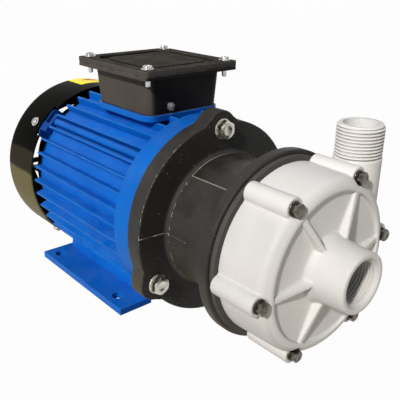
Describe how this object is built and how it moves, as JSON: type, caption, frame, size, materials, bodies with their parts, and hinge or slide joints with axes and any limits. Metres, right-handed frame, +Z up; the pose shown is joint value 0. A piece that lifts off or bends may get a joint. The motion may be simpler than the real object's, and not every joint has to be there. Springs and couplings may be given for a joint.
{
  "type": "magnetic drive pump",
  "caption": "Foot mounted electric motor with a finned frame, driving a sealed plastic centrifugal pump through a magnetic coupling.",
  "frame": {"origin": "middle of the four foot holes, on the floor", "axes": "+X along the shaft towards the inlet, +Z up towards the outlet's mouth"},
  "size_m": [0.3623, 0.158, 0.1987],
  "materials": {
    "motor_paint": "gloss blue paint on cast aluminium",
    "cover_paint": "gloss black paint on pressed steel",
    "black_plastic": "satin black moulding",
    "bracket_black": "satin black glass filled plastic",
    "white_plastic": "satin white polypropylene",
    "stainless": "bright stainless steel",
    "steel": "ground steel",
    "core_steel": "laminated steel",
    "copper": "varnished copper wire",
    "brass": "bright brass",
    "rubber": "soft black rubber",
    "ceramic": "polished ceramic",
    "carbon": "turned carbon",
    "board": "brown moulding"
  },
  "bodies": {
    "pump_body": {"motor_frame": "motor_paint", "front_end_shield": "motor_paint", "rear_end_shield": "motor_paint", "end_shield_screws": "steel", "stator_core": "core_steel", "stator_windings": "copper", "front_bearing_outer": "steel", "front_bearing_balls": "steel", "rear_bearing_outer": "steel", "rear_bearing_balls": "steel", "preload_washer": "steel", "fan_cover": "cover_paint", "fan_cover_screws": "stainless", "terminal_box": "black_plastic", "box_gasket": "rubber", "lid_gasket": "rubber", "terminal_box_lid": "black_plastic", "lid_screws": "stainless", "terminal_board": "board", "terminal_studs": "brass", "box_screws": "steel", "earth_screw": "stainless", "gland_body": "black_plastic", "gland_nut": "black_plastic", "gland_seal": "rubber", "gland_locknut": "black_plastic", "pump_bracket": "bracket_black", "bracket_bolts": "stainless", "bracket_washers": "stainless", "rear_casing": "bracket_black", "casing_o_ring": "rubber", "spindle": "ceramic", "rear_thrust_ring": "ceramic", "front_thrust_ring": "ceramic", "front_casing": "white_plastic", "casing_bolts": "stainless", "casing_spring_washers": "steel", "casing_washers": "stainless"},
    "motor_rotor": {"motor_shaft": "steel", "rotor_core": "core_steel", "front_bearing_inner": "steel", "rear_bearing_inner": "steel", "cooling_fan": "black_plastic", "fan_circlip": "steel", "drive_magnet_hub": "steel", "drive_magnets": "core_steel", "shaft_key": "steel", "hub_set_screw": "steel"},
    "impeller_set": {"impeller": "white_plastic", "impeller_magnet": "core_steel", "magnet_end_cap": "white_plastic", "impeller_bush": "carbon"}
  },
  "joints": [
    {"name": "shaft_spin", "type": "hinge", "parent": "pump_body", "child": "motor_rotor", "pos_m": [0, 0, 0.08], "axis": [1, 0, 0], "continuous": true},
    {"name": "impeller_spin", "type": "hinge", "parent": "pump_body", "child": "impeller_set", "pos_m": [0.16, 0, 0.08], "axis": [1, 0, 0], "continuous": true}
  ],
  "couplings": [
    {"joint": "impeller_spin", "follows": "shaft_spin", "ratio": 1}
  ]
}
